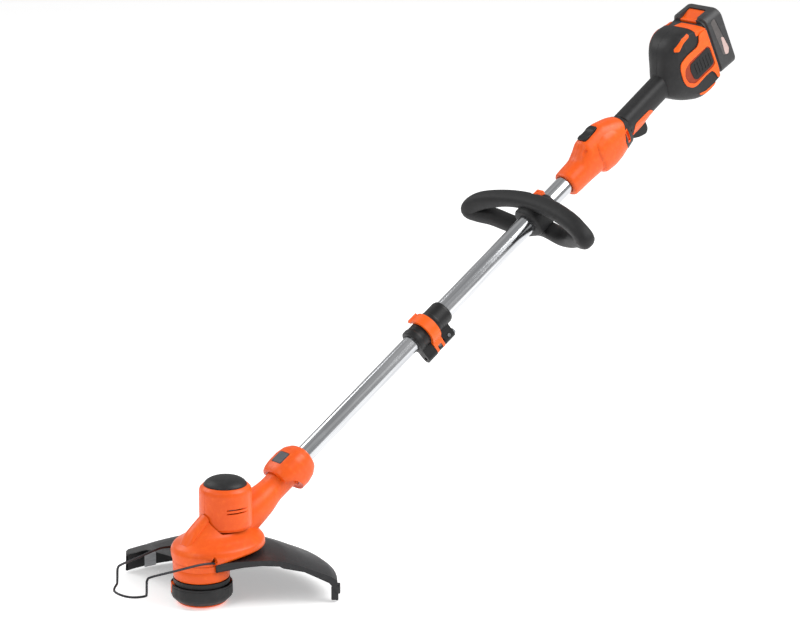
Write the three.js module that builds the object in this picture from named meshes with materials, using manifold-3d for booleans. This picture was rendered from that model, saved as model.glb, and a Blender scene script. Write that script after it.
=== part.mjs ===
// Battery string trimmer: a telescoping two-tube shaft with a turning cutting head at its lower end and a
// switch handle with a slide-on battery at its upper end. Millimetres, +Z up along the spool axis, origin on
// that axis at the bottom face of the spool knob, +X towards the user.
import * as THREE from 'three';
import { mergeVertices } from 'three/addons/utils/BufferGeometryUtils.js';
import Module from 'manifold-3d';

const wasm = await Module();
wasm.setup();
const { clamp, degToRad, lerp, radToDeg, smoothstep } = THREE.MathUtils;

// ---- driving dimensions -------------------------------------------------------------------------------
const GAP = 0.3; // running clearance between two pieces that touch
const WALL = 3; // moulded shells
const shaftAngle = degToRad(31.9); // shaft above the ground
const shaftFoot = new THREE.Vector3(151.3, 0, 150); // s = 0 on the shaft axis
const lowerTube = { outer: 12.7, inner: 11.5, start: 6, end: 530 };
const upperTube = { outer: 14, inner: 13, start: 276, end: 704 };
const motorX = 42; // motor axis, from the spool axis
const motorR = 35.5;
const capR = 41.5; // spool cap
const rimCircle = { x: 6, y: -11, radius: 169 }; // outer edge of the guard, seen from above
const gearTeeth = 40;
const pinionTeeth = 12;
const gearModule = (2 * motorX) / (gearTeeth + pinionTeeth);
const packTilt = degToRad(26); // battery axis above the ground
const packFoot = 828; // s where the battery housing's own frame starts
const packFace = 91; // battery face, along the housing's axis

// ---- finishes -----------------------------------------------------------------------------------------
const finish = (color, roughness, metalness = 0) => new THREE.MeshStandardMaterial({ color, roughness, metalness });
const orange = finish(0xf0581e, 0.45);
const charcoal = finish(0x2b2c2d, 0.6);
const black = finish(0x141414, 0.65);
const packGrey = finish(0x3c3e3f, 0.55);
const windowGrey = finish(0x4a4c50, 0.4);
const alloy = finish(0xc9cbcd, 0.25, 1);
const steel = finish(0x8d9094, 0.35, 1);
const darkSteel = finish(0x3a3a3c, 0.4, 1);
const brass = finish(0xb08d4c, 0.35, 1);
const nylon = finish(0xe6e2d8, 0.5);
const lineRed = finish(0xb04a2a, 0.5);
const copper = finish(0xa8653a, 0.4, 1);
const boardGreen = finish(0x1f5a3c, 0.6);

// ---- solids -------------------------------------------------------------------------------------------
// Six times the volume inside a merged, indexed geometry; negative when its faces point inwards.
function signedVolume(positions, index) {
  const [a, b, c] = [new THREE.Vector3(), new THREE.Vector3(), new THREE.Vector3()];
  let sum = 0;
  for (let i = 0; i < index.length; i += 3) {
    a.fromArray(positions, 3 * index[i]);
    b.fromArray(positions, 3 * index[i + 1]);
    c.fromArray(positions, 3 * index[i + 2]);
    sum += a.dot(b.cross(c));
  }
  return sum;
}

// A closed three.js geometry as a manifold solid, with its faces turned outwards.
function solid(geometry) {
  const bare = geometry.clone();
  for (const name of Object.keys(bare.attributes)) {
    if (name !== 'position') bare.deleteAttribute(name);
  }
  const merged = mergeVertices(bare, 1e-4);
  const vertProperties = new Float32Array(merged.attributes.position.array);
  const triVerts = new Uint32Array(merged.index.array);
  if (signedVolume(vertProperties, triVerts) < 0) triVerts.reverse();
  return new wasm.Manifold(new wasm.Mesh({ numProp: 3, vertProperties, triVerts }));
}

function geometryOf(shape) {
  const mesh = shape.getMesh();
  const geometry = new THREE.BufferGeometry();
  geometry.setAttribute('position', new THREE.BufferAttribute(mesh.vertProperties, 3));
  geometry.setIndex(new THREE.BufferAttribute(mesh.triVerts, 1));
  geometry.computeVertexNormals();
  return geometry;
}

const join = (first, ...others) => others.reduce((sum, other) => sum.add(other), first);
const cut = (first, ...tools) => tools.reduce((rest, tool) => rest.subtract(tool), first);

function box(x0, x1, y0, y1, z0, z1) {
  const geometry = new THREE.BoxGeometry(x1 - x0, y1 - y0, z1 - z0);
  return solid(geometry.translate((x0 + x1) / 2, (y0 + y1) / 2, (z0 + z1) / 2));
}

// A profile of [radius, height] points turned about Z, and the same about X for pieces on the shaft.
function turned(profile, segments = 32) {
  const points = profile.map(([radius, height]) => new THREE.Vector2(radius, height));
  return new THREE.LatheGeometry(points, segments).rotateX(Math.PI / 2);
}
const turnedZ = (profile, segments) => solid(turned(profile, segments));
const turnedX = (profile, segments) => solid(turned(profile, segments).rotateY(Math.PI / 2));

// Rings and rods: about Z, and along X.
const rodZ = (r, z0, z1, n = 24) => turnedZ([[0, z0], [r, z0], [r, z1], [0, z1]], n);
const rodX = (r, x0, x1, n = 24) => turnedX([[0, x0], [r, x0], [r, x1], [0, x1]], n);
const rodY = (r, y0, y1, n = 24) => solid(turned([[0, y0], [r, y0], [r, y1], [0, y1]], n).rotateX(-Math.PI / 2));
const ringZ = (inner, outer, z0, z1, n = 24) =>
  turnedZ([[inner, z0], [outer, z0], [outer, z1], [inner, z1], [inner, z0]], n);
const ringX = (inner, outer, x0, x1, n = 24) =>
  turnedX([[inner, x0], [outer, x0], [outer, x1], [inner, x1], [inner, x0]], n);

// A skin through rings of equal point counts, closed by a flat cap on the first and last ring.
function loft(rings) {
  const count = rings[0].length;
  const positions = rings.flat().flatMap((point) => [point.x, point.y, point.z]);
  const index = [];
  for (let ring = 0; ring + 1 < rings.length; ring += 1) {
    for (let i = 0; i < count; i += 1) {
      const a = ring * count + i;
      const b = ring * count + ((i + 1) % count);
      index.push(a, b, b + count, a, b + count, a + count);
    }
  }
  const cap = (ring, base, flip) => {
    const normal = new THREE.Vector3();
    ring.forEach((point, i) => normal.add(point.clone().cross(ring[(i + 1) % count])));
    normal.normalize();
    const across = ring[1].clone().sub(ring[0]).normalize();
    const up = normal.clone().cross(across);
    const flat = ring.map((point) => new THREE.Vector2(point.dot(across), point.dot(up)));
    for (const [a, b, c] of THREE.ShapeUtils.triangulateShape(flat, [])) {
      index.push(base + a, base + (flip ? c : b), base + (flip ? b : c));
    }
  };
  cap(rings[0], 0, true);
  cap(rings[rings.length - 1], count * (rings.length - 1), false);
  const geometry = new THREE.BufferGeometry();
  geometry.setAttribute('position', new THREE.Float32BufferAttribute(positions, 3));
  geometry.setIndex(index);
  return solid(geometry);
}

// A rounded section across X: superellipse of the given power with its own top, bottom and half width.
function section({ x, top, bottom, half, power = 2.4, count = 24 }) {
  const root = (value) => Math.sign(value) * Math.abs(value) ** (2 / power);
  return Array.from({ length: count }, (_, i) => {
    const t = (2 * Math.PI * (i + 0.5)) / count;
    const height = Math.sin(t) > 0 ? top : bottom;
    return new THREE.Vector3(x, half * root(Math.cos(t)), height * root(Math.sin(t)));
  });
}

// Stations of [x, top, bottom, half width], lofted, and the same drawn in by an inset.
function tube(stations, power, inset = 0) {
  return loft(stations.map(([x, top, bottom, half]) =>
    section({ x, top: top - inset, bottom: bottom - inset, half: half - inset, power })));
}

// An outline of [u, v] points extruded along Z.
function prism(outline, z0, z1) {
  const shape = new THREE.Shape(outline.map(([u, v]) => new THREE.Vector2(u, v)));
  return new THREE.ExtrudeGeometry(shape, { depth: z1 - z0, bevelEnabled: false }).translate(0, 0, z0);
}

const arc = (cx, cy, r, from, to, steps) => Array.from({ length: steps + 1 }, (_, i) => {
  const t = degToRad(from + ((to - from) * i) / steps);
  return [cx + r * Math.cos(t), cy + r * Math.sin(t)];
});

// A round wire or bar along a smooth curve.
function bar(points, radius, steps, sides = 8, closed = false) {
  const curve = new THREE.CatmullRomCurve3(points.map((p) => new THREE.Vector3(...p)), closed, 'centripetal');
  const outline = arc(0, 0, radius, 0, 360 - 360 / sides, sides - 1);
  const round = new THREE.Shape(outline.map((p) => new THREE.Vector2(...p)));
  return solid(new THREE.ExtrudeGeometry(round, { steps, extrudePath: curve, bevelEnabled: false }));
}

// Outlines along the shaft are drawn as [s, h] and given a width; outlines across it as [y, h].
const standUp = new THREE.Matrix4().makeBasis(
  new THREE.Vector3(0, 1, 0), new THREE.Vector3(0, 0, 1), new THREE.Vector3(1, 0, 0));
const alongShaft = (outline, y0, y1) => solid(prism(outline, -y1, -y0).rotateX(Math.PI / 2));
const acrossShaft = (outline, from, to) => solid(prism(outline, from, to).applyMatrix4(standUp));

const turn = (shape, x, y, z) => shape.rotate([x, y, z]);
const move = (shape, x, y, z) => shape.translate([x, y, z]);

// The two halves of a shell that is split along the middle, left on -Y and right on +Y.
const BIG = 2000;
const leftOf = (shape) => cut(shape, box(-BIG, BIG, -GAP / 2, BIG, -BIG, BIG));
const rightOf = (shape) => cut(shape, box(-BIG, BIG, -BIG, GAP / 2, -BIG, BIG));

// ---- the assembly -------------------------------------------------------------------------------------
const trimmer = new THREE.Group();
const shaft = new THREE.Group(); // x = s along the shaft, z = h above its axis
shaft.position.copy(shaftFoot);
shaft.rotation.y = -shaftAngle;
trimmer.add(shaft);

function add(parent, name, shape, material) {
  const mesh = new THREE.Mesh(geometryOf(shape), material);
  mesh.name = name;
  parent.add(mesh);
}

// ---- shaft tubes and lead -----------------------------------------------------------------------------
add(shaft, 'upper_tube', ringX(upperTube.inner, upperTube.outer, upperTube.start, upperTube.end, 32), alloy);
add(shaft, 'lower_tube', ringX(lowerTube.inner, lowerTube.outer, lowerTube.start, lowerTube.end, 32), alloy);
add(shaft, 'lower_lead', move(rodX(3, 12, 525, 8), 0, 5, 0), black);
const coil = { start: 640, end: 698, radius: 8.5 };
const straightLead = move(rodX(2.5, 540, 742, 8), 0, -5, 0);
add(shaft, 'coiled_lead', join(straightLead, rodX(coil.radius, coil.start, coil.end, 16)), black);

// ---- telescoping clamp --------------------------------------------------------------------------------
const sleeve = { outer: 17.4, start: 262, end: 331 };
const leverBand = { start: 282.5, end: 299.5, inner: 18, outer: 22.4 };
const pivotAngle = 160; // round the shaft from its top, towards the left side
const pivotReach = 31;
const aroundShaft = (degrees, radius) => {
  const t = degToRad(degrees);
  return [-radius * Math.sin(t), radius * Math.cos(t)];
};
const [pivotY, pivotH] = aroundShaft(pivotAngle, pivotReach);
const lug = (from, to, radius, spread = 70) => {
  const base = arc(0, 0, sleeve.outer - 1, pivotAngle + 90 + spread, pivotAngle + 90 - spread, 8);
  const tip = arc(pivotY, pivotH, radius, pivotAngle + 90 - 80, pivotAngle + 90 + 80, 8);
  return acrossShaft([...base, ...tip], from, to);
};
const tubeBore = join(
  rodX(lowerTube.outer + GAP, sleeve.start - 5, upperTube.start - 1, 32),
  rodX(upperTube.outer + GAP, upperTube.start - 2, sleeve.end + 5, 32),
);
const pinHole = move(rodX(2.8, 250, 340, 16), 0, pivotY, pivotH);
const clampSolid = join(
  turnedX([[0, 262], [16.6, 262], [18.6, 264], [18.6, 270], [17.4, 272], [17.4, 328], [15.8, 331], [0, 331]], 32),
  lug(264, 282, 7), lug(287.6, 294.4, 6), lug(300, 325, 6),
);
add(shaft, 'clamp_body', cut(clampSolid, tubeBore, pinHole), black);
add(shaft, 'clamp_pin', move(rodX(2.5, 268, 322, 12), 0, pivotY, pivotH), steel);
const bandOutline = [
  ...arc(0, 0, leverBand.outer, 55, 225, 16),
  ...arc(pivotY, pivotH, 6.4, 200, 380, 8),
  ...arc(0, 0, leverBand.inner, 232, 62, 16),
];
const leverSolid = acrossShaft(bandOutline, leverBand.start, leverBand.end);
const forkGap = join(move(box(287.2, 294.8, -7.5, 7.5, -7.5, 7.5), 0, pivotY, pivotH), lug(287.2, 294.8, 7, 76));
const fingerTab = acrossShaft([[12, 13.5], [20, 15], [15.5, 20.5], [9, 19]], leverBand.start, leverBand.end);
add(shaft, 'clamp_lever', cut(join(leverSolid, fingerTab), forkGap, pinHole), orange);

// ---- collar on the lower tube, where the head turns ---------------------------------------------------
const collarStations = [
  [-24, 23.8, 23.4, 23.2], [-18, 26, 25, 25.4], [-8, 27.2, 27.4, 26.8], [8, 27.2, 27.8, 26.8], [20, 25, 25.2, 24.6],
  [29, 19.8, 20.3, 19.8], [32, 16.5, 16.5, 16.5],
];
const neckR = 18;
const flangeR = 20.9; // holds the neck in the collar
const collarRoom = join(
  rodX(neckR + 2, -40, -8, 32), // mouth round the neck
  rodX(flangeR + 0.8, -12, 4, 32), // room for the neck's flange
  rodX(lowerTube.outer + GAP, 0, 40, 32), // seat of the lower tube
);
const archCut = move(rodY(27, -60, 60, 32), -34, 0, -21);
const headButtonPocket = box(-10, 10, -9.8, 9.8, 16.6, 40);
const collarSolid = cut(tube(collarStations, 2.3), collarRoom, archCut, headButtonPocket);
add(shaft, 'collar_left', leftOf(collarSolid), orange);
add(shaft, 'collar_right', rightOf(collarSolid), orange);
add(shaft, 'head_button', join(box(-9.6, 9.6, -9.4, 9.4, 23.6, 26.6), box(0.5, 8, -5, 5, 19.5, 24)), windowGrey);

// ---- auxiliary handle ---------------------------------------------------------------------------------
const loopS = 541;
const loopHalf = 118;
const loopSweep = 23; // how far the ends of the loop lean towards the head
const loopPoints = [
  [0, 23], [45, 22], [88, 17], [111, 9], [loopHalf, 0], [108, -7], [87, -15], [62, -28], [36, -34],
];
const loopAt = ([y, h], side) => [loopS - loopSweep * (y / loopHalf) ** 2, side * y, h];
const loopPath = [
  ...loopPoints.map((point) => loopAt(point, 1)),
  [loopS, 0, -27],
  ...loopPoints.slice(1).reverse().map((point) => loopAt(point, -1)),
];
// The loop's bar is an ellipse, deeper along the shaft than it is high.
function loopBar(path, deep, high, steps) {
  const curve = new THREE.CatmullRomCurve3(path.map((p) => new THREE.Vector3(...p)), true, 'centripetal');
  const rings = Array.from({ length: steps }, (_, i) => {
    const centre = curve.getPointAt(i / steps);
    const along = curve.getTangentAt(i / steps).setX(0).normalize();
    const out = new THREE.Vector3(0, -along.z, along.y);
    return arc(0, 0, 1, 0, 324, 9).map(([u, v]) =>
      centre.clone().addScaledVector(out, high * v).add(new THREE.Vector3(deep * u, 0, 0)));
  });
  const halves = [rings.slice(0, steps / 2 + 1), [...rings.slice(steps / 2), rings[0]]];
  return join(...halves.map(loft));
}
const hubOuter = tube([[519, 20, 21, 21], [523, 22, 23, 23], [559, 22, 23, 23], [566, 18, 20, 20]], 2.6);
const auxBore = rodX(upperTube.outer + GAP, 500, 590, 32);
const auxSolid = cut(join(loopBar(loopPath, 13, 10.5, 32), hubOuter), auxBore);
const capZone = box(521, 561, -16, 16, -60, -14.5);
const buttonRoom = box(549.5, 568, -7.4, 7.4, 15.2, 40);
add(shaft, 'aux_handle', cut(auxSolid, box(520.7, 561.3, -16.3, 16.3, -60, -14.2), buttonRoom), charcoal);
add(shaft, 'aux_clamp_cap', auxSolid.intersect(capZone), charcoal);
add(shaft, 'aux_button', box(550, 565, -7, 7, 17.8, 24.5), orange);

// ---- switch housing -----------------------------------------------------------------------------------
const switchStations = [
  [606, 16.5, 18.5, 17], [610, 17.5, 21.5, 19], [636, 19, 23, 19.5], [650, 26.5, 24, 20], [662, 34.5, 25, 20.5],
  [694, 36.5, 26, 22], [712, 31, 26, 22.5], [728, 24, 26, 20.5], [739, 16.2, 24, 16.8],
];
const bulbStations = [
  [667, 18, 26, 20.5], [672, 27, 31.5, 24.3], [690, 31, 34, 25], [706, 28, 33, 24.3], [739, 15.8, 29, 16.3],
];
const gripStations = [[741, 16.4, 19, 15.5], [790, 17, 18.5, 15.5], [846, 17.5, 17.5, 16]];
const tubeSocket = rodX(upperTube.outer + GAP, 600, upperTube.end + 1, 32);
const thumbPocket = box(661, 696, -9, 9, 26, 60);
const switchShell = cut(
  join(tube(switchStations, 2.4), tube(bulbStations, 2.5)),
  tubeSocket,
  tube([[654, 28, 20, 17], [700, 28, 22, 19], [745, 12.5, 20, 12.5]], 2.4),
  thumbPocket,
);
add(shaft, 'switch_housing_left', leftOf(switchShell), orange);
add(shaft, 'switch_housing_right', rightOf(switchShell), orange);
const thumbOutline = [
  [663, -7], [663, 7], [670, 8.4], [687, 8.4], [694, 7], [694, -7], [687, -8.4], [670, -8.4],
];
add(shaft, 'lock_button', join(solid(prism(thumbOutline, 30, 37.5)), box(672, 684, -5, 5, 24, 31)), black);

// ---- rear handle: grip and battery housing ------------------------------------------------------------
const pack = new THREE.Group(); // x = a along the battery axis, z = b across it
pack.position.set(packFoot, 0, 0);
pack.rotation.y = shaftAngle - packTilt;
shaft.add(pack);
const packTurn = radToDeg(shaftAngle - packTilt);
const packToShaft = (shape) => move(turn(shape, 0, packTurn, 0), packFoot, 0, 0);

const housingProfile = [
  [-3, -13], [-2, 8], [6, 25], [12, 42], [20, 54], [33, 62], [48, 64], [66, 61], [packFace, 54],
  [packFace, -28], [85, -40], [66, -47], [44, -48], [20, -36], [4, -23],
];
const housingHeart = [62, 10];
const housingHalf = 33; // half width at the battery face
const sideTaper = 0.0625; // the sides close in towards the grip
// The housing's side faces are drawn in at the front and top; its rear edge stays nearly square.
function housingLoft(inset) {
  const rings = [-1, -0.9, -0.67, -0.33, 0.33, 0.67, 0.9, 1].map((side) => {
    const along = (1 - 0.3 * Math.abs(side) ** 3.2) * (1 - inset / 60);
    return housingProfile.map(([a, b]) => {
      const rounding = lerp(0.2, 0.05, clamp(a / packFace, 0, 1));
      const across = (1 - rounding * Math.abs(side) ** 5) * (1 - inset / 50);
      const reach = a > 85 ? a - inset : housingHeart[0] + (a - housingHeart[0]) * along;
      const half = housingHalf - sideTaper * (packFace - reach) - inset;
      return new THREE.Vector3(reach, side * half, housingHeart[1] + (b - housingHeart[1]) * across);
    });
  });
  return loft(rings);
}
const tongue = { front: 76, half: 28, low: -25.5, high: 54 };
const batteryDoor = box(70, packFace + 5, -tongue.half - 1, tongue.half + 1, tongue.low - 1, 90);
const gripOuter = tube(gripStations, 2.6);
const handleOuter = join(gripOuter, packToShaft(housingLoft(0)));
const triggerSlot = box(738, 786, -6.5, 6.5, -45, -6);
const trimZone = join(box(748, 790, -30, 30, -40, -9.5), box(742.5, 750, -30, 30, -40, -19));
const handleShell = cut(
  handleOuter,
  tube([[735, 13, 15, 12.3], [790, 13.5, 15, 12.3], [850, 14, 14, 12.5]], 2.4),
  packToShaft(housingLoft(WALL)),
  packToShaft(batteryDoor),
  triggerSlot,
  trimZone,
);
add(shaft, 'handle_left', leftOf(handleShell), charcoal);
add(shaft, 'handle_right', rightOf(handleShell), charcoal);
const trimBlank = join(gripOuter, tube([[742, 10, 24, 14], [760, 10, 24, 14.5], [786, 10, 20, 14.5]], 2.4));
const trimExtent = join(box(748.3, 789.7, -30, 30, -40, -9.8), box(742.8, 748.6, -30, 30, -40, -19.3));
const trimSolid = cut(
  trimBlank.intersect(trimExtent),
  box(738, 786, -7, 7, -45, -5),
  tube([[735, 13, 13.5, 11.5], [850, 14, 13.5, 11.5]], 2.4),
);
add(shaft, 'trigger_trim', trimSolid, orange);
const triggerOutline = [
  [742.5, -13.5], [748, -12], [772, -14], [777, -20], [776, -34], [770, -39.5], [756, -35], [744, -28], [741, -20],
];
add(shaft, 'trigger', alongShaft(triggerOutline, -5.8, 5.8), black);
add(shaft, 'trigger_switch', box(750, 774, -8.3, 8.3, -1, 9), black);

// ---- battery housing contents and side trims ----------------------------------------------------------
add(pack, 'controller_board', box(24, 54, -16, 16, 30, 34), boardGreen);
const blades = [-12, 0, 12].map((y) => box(68, 79, y - 0.6, y + 0.6, -6, 14));
add(pack, 'battery_receiver', join(box(60, 69, -20, 20, -12, 30), ...blades), black);
const panelOutline = [
  [22.6, 0], [23.8, 18.5], [28, 27], [42.7, 31.3], [64.5, 32.7], [71, 38.2], [74.5, 48.5], [90, 48.5], [90, -17],
  [88, -32.5], [83.3, -32.5], [81.5, -22.7], [76.4, -15.4], [63, -16.4], [42.3, -20.5], [33.6, -18.7], [25.3, -10.4],
];
const badgeOutline = [[43.2, 15.6], [40.3, 6], [42.4, -8.9], [48, -12.6], [80, -8.4], [85, -6.2], [85, 17], [82, 21.4]];
const badgeHeart = [63, 4];
const ventOutline = badgeOutline.map(([a, b]) =>
  [badgeHeart[0] + (a - badgeHeart[0]) * 0.975, badgeHeart[1] + (b - badgeHeart[1]) * 0.965]);
// Drawn against the plane y = 0 and turned about the battery face to lie on the tapered side.
const onSide = (shape) =>
  move(turn(move(shape, -packFace, 0, 0), 0, 0, -radToDeg(Math.atan(sideTaper))), packFace, -housingHalf - GAP, 0);
const sidePanel = onSide(cut(alongShaft(panelOutline, -1.6, 0), alongShaft(badgeOutline, -5, 5)));
const ventPlate = onSide(alongShaft(ventOutline, -1, 0));
for (const [label, side] of [['left', 1], ['right', -1]]) {
  add(pack, `side_panel_${label}`, sidePanel.scale([1, side, 1]), orange);
  add(pack, `vent_plate_${label}`, ventPlate.scale([1, side, 1]), black);
}

// ---- battery ------------------------------------------------------------------------------------------
const batteryEnd = 128.5;
// Outline across the battery, with larger corners on top than below.
function blockRing(a, half, b0, b1) {
  const corners = [[half, b1, 0, 13], [-half, b1, 90, 13], [-half, b0, 180, 9], [half, b0, 270, 9]];
  return corners.flatMap(([y, b, from, corner]) =>
    arc(y - Math.sign(y) * corner, b - Math.sign(b - 15) * corner, corner, from, from + 90, 4))
    .map(([y, b]) => new THREE.Vector3(a, y, b));
}
const latchRoom = box(90, 117, -17, 17, 51.5, 70);
const cellRows = [-15, 3.4, 21.8, 40.2];
const cellSpots = cellRows.flatMap((b) => [[91.2, b], [109.6, b]]);
const cells = cellSpots.map(([a, b]) => move(rodY(9.25, -27, 27, 16), a, 0, b));
const battery = cut(
  join(
    loft([
      blockRing(packFace + 0.4, 34, -32, 62),
      blockRing(batteryEnd - 3, 34, -32, 61.5),
      blockRing(batteryEnd, 32, -30, 59),
    ]),
    box(tongue.front, packFace + 1, -tongue.half, tongue.half, tongue.low, tongue.high),
  ),
  box(81.4, 119.7, -27.5, 27.5, -24.6, 49.9),
  latchRoom,
  ...[-12, 0, 12].map((y) => box(70, 83, y - 1.4, y + 1.4, -40, 16)),
);
add(pack, 'battery_case', battery, packGrey);
add(pack, 'battery_cells', join(...cells), steel);
add(pack, 'battery_latch', join(box(92, 116.6, -16.6, 16.6, 56, 60), box(104, 112, -6, 6, 54.5, 57)), orange);

// ---- head: motor housing and neck ---------------------------------------------------------------------
const headGroup = new THREE.Group();
trimmer.add(headGroup);
const toWorld = (shape) => move(turn(shape, 0, -radToDeg(shaftAngle), 0), shaftFoot.x, 0, shaftFoot.z);
const atMotor = (shape) => move(shape, motorX, 0, 0);
const neckStations = [
  [-112, 14, 16, 21], [-100, 24, 23, 22], [-88, 24, 23.5, 22], [-60, 20.5, 22, 20.5], [-34, 17.3, 18, 17.3],
  [-6, neckR, neckR, neckR],
];
const neckOuter = toWorld(join(tube(neckStations, 2.3), rodX(flangeR, -7.5, -1, 32)));
const barrel = atMotor(turnedZ([[0, 97.6], [motorR, 97.6], [motorR, 147], [motorR - 1.5, 151.5], [30.5, 155.5],
  [0, 155.5]], 36));
const motorRoom = atMotor(rodZ(motorR - WALL, 90, 149, 32));
const capSeat = atMotor(rodZ(29, 153, 170, 32));
const neckRoom = toWorld(tube([[-104, 18, 18, 17], [-60, 16.5, 17.5, 16.5], [2, 14, 14, 14]], 2.2));
const ventSlots = [123, 128].map((z) => move(turn(box(-14, 18, -50, -30, 0, 1.8), 0, 0, -12), motorX, 0, z));
const motorShell = cut(join(barrel, neckOuter), motorRoom, neckRoom, capSeat, ...ventSlots);
add(headGroup, 'motor_housing_left', leftOf(motorShell), orange);
add(headGroup, 'motor_housing_right', rightOf(motorShell), orange);
const capDome = turnedZ([[0, 153.4], [28.6, 153.4], [28.6, 156.5], [26, 160], [19, 163.6], [10, 165.3], [0, 165.8]], 32);
add(headGroup, 'motor_cap', atMotor(capDome), charcoal);
add(headGroup, 'motor_can', atMotor(turnedZ([[4, 102], [24, 102], [24, 148], [4, 148], [4, 146], [22, 146], [22, 104],
  [4, 104], [4, 102]], 24)), steel);

// ---- head: gearbox deck and base ----------------------------------------------------------------------
// Egg-shaped outline: a front circle about the spool axis that grows into a larger one behind it.
function egg(z, front, centre, rear, count = 28) {
  return Array.from({ length: count }, (_, i) => {
    const t = (2 * Math.PI * i) / count;
    const blend = (1 + Math.cos(t)) / 2;
    const radius = front + (rear - front) * blend;
    return new THREE.Vector3(centre * blend + radius * Math.cos(t), radius * Math.sin(t), z);
  });
}
const deckLevels = [
  [60.4, 38.5, 3, 39], [66, 39.5, 14, 56], [73, 40, 27, 68], [79, 37.5, 28, 67], [87, 27.5, 36, 54], [95, 20, 42, 37],
  [104, 11, 42, 34], [112, 4, 42, 30],
];
const deckOuter = loft(deckLevels.map((level) => egg(...level)));
const deckInner = loft([
  [55, 35.5, 3, 36], [66, 36.5, 14, 44], [74, 37, 22, 54], [82, 30, 30, 46], [91, 20, 40, 34],
].map((level) => egg(...level)));
const deckRib = loft([[-30, 80, 7], [-20, 92, 9], [6, 113, 8]].map(([x, z, r]) =>
  section({ x, top: r, bottom: r, half: r + 2, power: 2 }).map((p) => new THREE.Vector3(p.x, p.y, p.z + z))));
const wirePivot = { x: -12, z: 67 };
const wireHole = move(rodY(2.2, -60, 60, 16), wirePivot.x, 0, wirePivot.z);
const boss = ringZ(10.3, 14, 84, 95, 20);
const deck = cut(
  join(deckOuter, deckRib),
  deckInner,
  atMotor(rodZ(motorR + 0.4, 97, 160, 36)),
  toWorld(tube(neckStations, 2.3, -0.4)),
  wireHole,
  rodZ(10.3, 80, 92, 24),
  atMotor(rodZ(5, 80, 110, 16)),
);
add(headGroup, 'gearbox_deck', join(deck, boss.intersect(deckOuter)), orange);
const base = turnedZ([[11.4, 50], [16, 50], [16, 54], [34, 54], [34, 37], [37, 36], [38, 40], [38.5, 60], [36, 60],
  [36, 57.5], [11.4, 57.5], [11.4, 50]], 36);
add(headGroup, 'gearbox_base', base, orange);
add(headGroup, 'lower_bearing', ringZ(5.3, 11, 50.5, 57), steel);
add(headGroup, 'upper_bearing', ringZ(5.3, 10, 84.5, 90), steel);

// ---- motor armature and gears -------------------------------------------------------------------------
// Involute-like gear outline with thinned teeth; the first tooth points at the given angle.
function gearOutline(teeth, firstTooth) {
  const pitch = (gearModule * teeth) / 2;
  const step = 360 / teeth;
  const corners = [[-0.3, -1.2], [-0.2, 0], [-0.1, 0.85], [0.1, 0.85], [0.2, 0], [0.3, -1.2]];
  return Array.from({ length: teeth }, (_, tooth) => corners.map(([turnPart, height]) => {
    const t = degToRad(firstTooth + step * (tooth + turnPart));
    const radius = pitch + height * gearModule;
    return [radius * Math.cos(t), radius * Math.sin(t)];
  })).flat();
}
const pinion = solid(prism(gearOutline(pinionTeeth, 180), 66, 77));
add(headGroup, 'motor_armature', atMotor(join(rodZ(2.5, 78, 147, 12), rodZ(15, 108, 142, 24))), copper);
add(headGroup, 'motor_pinion', atMotor(cut(pinion, rodZ(1.2, 60, 80, 8))), steel);
const gearBlank = solid(prism(gearOutline(gearTeeth, 180 / gearTeeth), 67, 75));
add(headGroup, 'drive_gear', cut(gearBlank, rodZ(5.3, 60, 80)), nylon);

// ---- spindle and spool head ---------------------------------------------------------------------------
add(headGroup, 'spindle', turnedZ([[0, 13], [5, 13], [5, 92], [0, 92]], 24), steel);
add(headGroup, 'spool_driver', turnedZ([[5.3, 29], [38, 29], [38, 35.4], [14, 35.4], [14, 48], [5.3, 48], [5.3, 29]], 32),
  black);
const tabAngles = [148, 328];
const tabWindow = (angle) => turn(box(34, 50, -7, 7, 15, 40), 0, 0, angle);
const eyeletAngle = 58;
const capWall = turnedZ([[22, 5], [30, 3], [37, 3], [41, 10], [capR, 12], [capR, 28.6], [39, 28.6], [39, 12],
  [36, 7.5], [22, 7.5], [22, 5]], 32);
const eyeletHole = turn(move(turn(rodZ(4.3, 34, 50, 16), 0, 90, 0), 0, 0, 20), 0, 0, eyeletAngle);
add(headGroup, 'spool_cap', cut(capWall, ...tabAngles.map(tabWindow), eyeletHole), charcoal);
const eyelet = turn(move(turn(ringZ(1.6, 4, 38.2, 42.2, 16), 0, 90, 0), 0, 0, 20), 0, 0, eyeletAngle);
add(headGroup, 'line_eyelet', eyelet, brass);
const tabBlock = turnedZ([[36.8, 15.4], [41, 15.4], [41, 28.3], [36.8, 28.3], [36.8, 15.4]], 32);
tabAngles.forEach((angle, i) => {
  const wedge = turn(box(34, 50, -6.6, 6.6, 10, 40), 0, 0, angle);
  add(headGroup, `release_tab_${['front', 'rear'][i]}`, tabBlock.intersect(wedge), orange);
});
const flangeEdge = 34;
add(headGroup, 'spool', turnedZ([[11, 10], [flangeEdge, 10], [flangeEdge, 11.6], [14, 11.6], [14, 25],
  [flangeEdge, 25], [flangeEdge, 26.6], [11, 26.6], [11, 10]], 32), black);
add(headGroup, 'wound_line', ringZ(14.3, flangeEdge - 3, 12, 24.6, 28), lineRed);
add(headGroup, 'spool_knob', turnedZ([[0, 0], [26, 0], [30, 1.6], [30, 2.7], [20, 4.5], [20, 9.7], [0, 9.7]], 32), orange);
const springTurns = 4;
const springPoints = Array.from({ length: springTurns * 8 + 1 }, (_, i) => {
  const t = (i / 8) * 2 * Math.PI;
  return [8 * Math.cos(t), 8 * Math.sin(t), 12 + (15 * i) / (springTurns * 8)];
});
add(headGroup, 'spool_spring', bar(springPoints, 0.8, springTurns * 10, 6), steel);

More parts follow.
